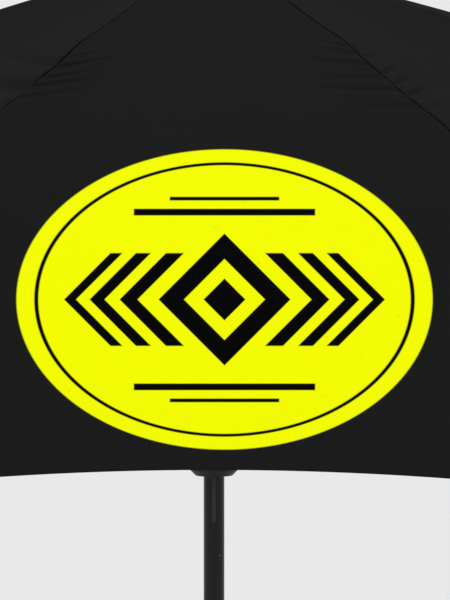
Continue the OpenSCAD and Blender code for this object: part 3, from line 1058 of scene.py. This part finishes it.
# Finishes of the rigid pieces, with the same kinds of values as the thread's
paint = {
    "shader": {"Coat Weight": 0.08, "Coat Roughness": 0.2, "Specular IOR Level": 0.22},
    "black": 0.0060,
    "rubbed": (0.06, 0.06, 0.062, 1.0),
    "rubShare": 0.5,
    "mottle": (55.0, 4.0),
    "rub": (420.0, 3.0, 0.65),  # scale, detail and roughness of the noise
    "rubEdge": (0.66, 0.74),
    "rubWhere": (0.52, 0.62),
    "rough": (0.26, 0.16, 0.18),  # least, and spans of mottle and rub
    "grain": (900.0, 1.0),
    "relief": (0.06, 0.0003),
}
plastic = {
    "shader": {"Specular IOR Level": 0.42},
    "blacks": (0.010, 0.0155),
    "mottle": (40.0, 3.0),
    "rough": (0.42, 0.18),
    "grain": ("ShaderNodeTexNoise", 1500.0),
    "relief": (0.12, 0.0003),
}
rod = {
    "shader": {"Specular IOR Level": 0.16},
    "blacks": (0.009, 0.015),
    "streak": (700.0, 3.0, 0.6),
    "sleeves": [(0.0195, 0.0425), (0.2025, 0.2290)],  # distances from the shaft
    "sleeveSoft": 0.0003,
    "sleeveColour": (0.030, 0.030, 0.032, 1.0),
    "sleeveMetal": 0.75,
    "rough": (0.44, 0.14, -0.14),  # least, and spans of streak and sleeve
    "relief": (0.10, 0.0003),
}
grip = {
    "shader": {"Specular IOR Level": 0.3, "Sheen Weight": 0.06, "Sheen Roughness": 0.5},
    "blacks": (0.011, 0.017),
    "mottle": (30.0, 3.0),
    "rough": (0.62, 0.2),
    "grain": ("ShaderNodeTexVoronoi", 900.0),
    "relief": (0.25, 0.0003),
}
metal = {"dull": 0.8, "scratch": (1.0, 3.0, 0.6), "roughSpan": 0.16, "relief": (0.08, 0.0002)}


def paintMaterial():
    f = paint
    material, start, shader = newMaterial("blackPaint", f["shader"])
    place = objectPlace(start)
    mottle = start.noise(place, *f["mottle"])
    rub = start.noise(place, *f["rub"]).step(*f["rubEdge"]) * mottle.step(*f["rubWhere"])
    start.mixColours(grey(f["black"]), f["rubbed"], rub * f["rubShare"]).into(shader, "Base Color")
    least, byMottle, byRub = f["rough"]
    (least + byMottle * mottle + byRub * rub).into(shader, "Roughness")
    start.bump(start.noise(place, *f["grain"]), *f["relief"]).into(shader, "Normal")
    return material


# Rod with drawn streaks; the crimped sleeves are known by their distance from the shaft
def rodMaterial():
    f = rod
    material, start, shader = newMaterial("ribRod", f["shader"])
    place = objectPlace(start)
    level = place.add("ShaderNodeVectorMath", {"operation": "MULTIPLY"}, {0: place, 1: (1.0, 1.0, 0.0)})
    reach = level.add("ShaderNodeVectorMath", {"operation": "LENGTH"}, {0: level}, 1)
    root, joint = [reach.band(*ends, f["sleeveSoft"]) for ends in f["sleeves"]]
    sleeve = root.most(joint)
    streak = start.noise(place, *f["streak"])
    base = start.mixColours(*map(grey, f["blacks"]), streak)
    start.mixColours(base, f["sleeveColour"], sleeve).into(shader, "Base Color")
    least, byStreak, bySleeve = f["rough"]
    (least + byStreak * streak + bySleeve * sleeve).into(shader, "Roughness")
    (f["sleeveMetal"] * sleeve).into(shader, "Metallic")
    start.bump(streak, *f["relief"]).into(shader, "Normal")
    return material


# Metal with fine turned or drawn lines that run round or along Z
def metalMaterial(name, colour, rough, lines):
    material, start, shader = newMaterial(name, {"Metallic": 1.0})
    place = objectPlace(start)
    stretched = place.add("ShaderNodeMapping", None, {"Vector": place, "Scale": lines})
    scratch = start.noise(stretched, *metal["scratch"])
    dull = tuple(metal["dull"] * c for c in colour)
    start.mixColours((*dull, 1.0), (*colour, 1.0), scratch).into(shader, "Base Color")
    (rough + metal["roughSpan"] * scratch).into(shader, "Roughness")
    start.bump(scratch, *metal["relief"]).into(shader, "Normal")
    return material


finishes = {
    "black_paint": paintMaterial(),
    "black_plastic": mottledMaterial("blackPlastic", plastic),
    "rib_rod": rodMaterial(),
    "soft_grip": mottledMaterial("softGrip", grip),
    "spring_steel": metalMaterial("springSteel", (0.052, 0.052, 0.055), 0.34, (300.0, 300.0, 3000.0)),
    "collar_metal": metalMaterial("collarMetal", (0.58, 0.59, 0.60), 0.14, (60.0, 60.0, 5000.0)),
}
wornBy = {
    "black_paint": ("shaft", "stretcher"),
    "black_plastic": ("ferrule", "crown_cap", "top_notch", "runner", "rib_tip"),
    "rib_rod": ("rib",),
    "soft_grip": ("handle",),
    "spring_steel": ("catches",),
    "collar_metal": ("handle_collar",),
}
finishOf = {stem: finishes[name] for name, stems in wornBy.items() for stem in stems}
for name, node in nodes.items():
    stem = name.rstrip("_12345678")
    if stem in finishOf:
        node.data.materials.clear()
        node.data.materials.append(finishOf[stem])
print("finishes:", len(finishes), "on the rigid pieces")

# Closing strap: a band sewn beside a seam at the back, with a press stud at its round free end
strap = {
    "petal": 4,
    "run": (0.388, 0.520),
    "width": 0.018,
    "inset": 0.0040,  # of its near edge from the seam
    "thickness": 0.0006,
    "gap": 0.00008,  # to the cloth under it
    "blunt": 0.998,  # share of the round end that is kept
    "edgeInset": 0.0020,  # of the sewn lines from its edges
    "sideLines": (0.02, 0.90),  # shares of its length
    "crossLines": (0.03, 0.14),
    "lineSteps": (80, 30),
    "studRadius": 0.0046,
    "studHeight": 0.0014,
    "studInset": 0.55,  # from the free end, in widths
    "grid": (48, 11),
    "crowding": 1.6,  # of the rows at the round end
}


# Places along and across the strap: the free end is a half circle, so there the half width is that of a chord
def strapPlace(share, across):
    k = strap
    half = k["width"] / 2
    s = between(k["run"], share)
    past = np.clip((s - (k["run"][1] - half)) / half, 0.0, k["blunt"])
    away = k["inset"] + half + across * half * np.sqrt(1 - past ** 2)
    return s, shareOf(s, away)


# The petal's surface at the strap's places, lifted by its thickness, with sewn lines and a stud on it
def makeStrap():
    k = strap
    i = k["petal"]
    length = k["run"][1] - k["run"][0]
    lift = k["thickness"] + k["gap"]
    rows, cols = k["grid"]
    share = 1 - np.linspace(1, 0, rows) ** k["crowding"]
    row, col = np.meshgrid(share, np.linspace(-1, 1, cols), indexing="ij")
    mesh = sheetMesh("strap", [clothGrid(*strapPlace(row, col), i, lift)], k["thickness"])
    band = addSoft(mesh, i, plainCloth)
    side = 1 - 2 * k["edgeInset"] / k["width"]
    along = np.linspace(*k["sideLines"], k["lineSteps"][0])
    across = np.linspace(-side, side, k["lineSteps"][1])
    lines = [(along, edge + 0 * along) for edge in (side, -side)]
    lines += [(place + 0 * across, across) for place in k["crossLines"]]
    sewn = [stitchRow(*petalSurface(*strapPlace(row, col), i, lift)) for row, col in lines]
    stitches = addSoft(stitchMesh("strapStitches", sewn), i, blackThread)
    middle = strapPlace(np.array([1 - k["studInset"] * k["width"] / length]), np.array([0.0]))
    base, axis = petalSurface(*middle, i, lift)
    mesh = headMesh("strapStud", base, axis, k["studRadius"], k["studHeight"])
    stud = addPiece(mesh, f"rib_body_{i}", finishes["black_plastic"])
    for piece in (band, stitches, stud):
        foldWithCanopy(piece, i)


# Small round heads: on both sides of each stretcher's fork, and the pin that holds the spring in the shaft
heads = {
    "forkHalf": 0.0039,
    "forkSink": 0.0029,  # of the joint below the rod's middle
    "rivet": (0.0017, 0.0006),  # radius and height
    "pin": (0.00062, 0.0003),
    "pinHeight": 0.3526,
    "pinAngle": -57.0,  # degrees round the shaft
    "pinColour": (0.16, 0.16, 0.165),
    "pinRough": 0.42,
    "pinLines": (300.0, 300.0, 3000.0),
    "shaftRadius": 0.0050,
}


# A head on each side of the fork, on the joint's axis
def makeRivets(i):
    sides = np.array([-1.0, 1.0])
    place = np.full(2, ribCurve["jointPlace"])
    bases = besideRib(place, sides * heads["forkHalf"], np.full(2, -heads["forkSink"]), i)
    axes = turnRound(sides[:, None] * np.array([0.0, 1.0, 0.0]), i)
    mesh = headMesh(f"rivets_{i}", bases, axes, *heads["rivet"])
    addPiece(mesh, f"stretcher_body_{i}", finishes["black_paint"])


def makeSpringPin():
    angle = np.radians(heads["pinAngle"])
    axis = np.array([[np.cos(angle), np.sin(angle), 0.0]])
    base = heads["shaftRadius"] * axis + np.array([0.0, 0.0, heads["pinHeight"]])
    mesh = headMesh("springPin", base, axis, *heads["pin"])
    steel = metalMaterial("pinSteel", heads["pinColour"], heads["pinRough"], heads["pinLines"])
    addPiece(mesh, "shaft_body", steel)


makeStrap()
for i in ribNumbers:
    makeRivets(i)
makeSpringPin()
print("strap, rivets and spring pin made")

# Stage: a plain pale floor under the handle, soft light from above and a pale surround
stage = {
    "floorHalf": 150.0,
    "floorColour": (0.80, 0.80, 0.79, 1.0),
    "floorShader": {"Roughness": 0.9, "Specular IOR Level": 0.1},
    "surround": (0.97, 0.985, 1.0, 1.0),
    "surroundStrength": 0.50,
    "backdrop": 0.76,  # surround's own brightness to the eye
    "lamps": [  # name, direction of the light, strength, spread in degrees
        ("overheadLamp", (0.0, 0.10, -1.0), 1.15, 70.0),
        ("leftLamp", (0.75, 0.9, -0.85), 0.30, 50.0),
        ("rightLamp", (-0.75, 0.9, -0.85), 0.30, 50.0),
        ("backLamp", (0.0, -1.0, -0.7), 0.25, 50.0),
    ],
}


def makeFloor(height):
    h = stage["floorHalf"]
    corners = np.array([[-h, -h, height], [h, -h, height], [h, h, height], [-h, h, height]])
    mesh = makeMesh("floor", corners, np.array([[0, 1, 2, 3]]))
    constants = {"Base Color": stage["floorColour"], **stage["floorShader"]}
    mesh.materials.append(newMaterial("paleFloor", constants)[0])
    floor = bpy.data.objects.new("floor", mesh)
    bpy.context.scene.collection.objects.link(floor)


def makeLamp(name, direction, strength, spread):
    data = bpy.data.lights.new(name, "SUN")
    data.energy = strength
    data.angle = np.radians(spread)
    lamp = bpy.data.objects.new(name, data)
    lamp.matrix_world = Vector(direction).to_track_quat("-Z", "Y").to_matrix().to_4x4()
    bpy.context.scene.collection.objects.link(lamp)


# The surround lights the part at one strength, and the eye, mirrors and glass see it as pale as the floor
def makeSurround():
    world = bpy.data.worlds.new("surround")
    world.use_nodes = True
    start = Wire(world.node_tree)
    light = world.node_tree.nodes["Background"]
    light.inputs["Color"].default_value = stage["surround"]
    path = start.add("ShaderNodeLightPath", None, None, "Is Camera Ray")
    seen = path.most(path.sibling("Is Glossy Ray")).most(path.sibling("Is Transmission Ray"))
    gain = stage["backdrop"] - stage["surroundStrength"]
    (stage["surroundStrength"] + gain * seen).into(light, "Strength")
    bpy.context.scene.world = world


makeFloor(cadBox[0].z)
for lamp in stage["lamps"]:
    makeLamp(*lamp)
makeSurround()
bpy.context.scene.view_settings.view_transform = "Standard"
print("stage: floor,", len(stage["lamps"]), "lamps and surround")
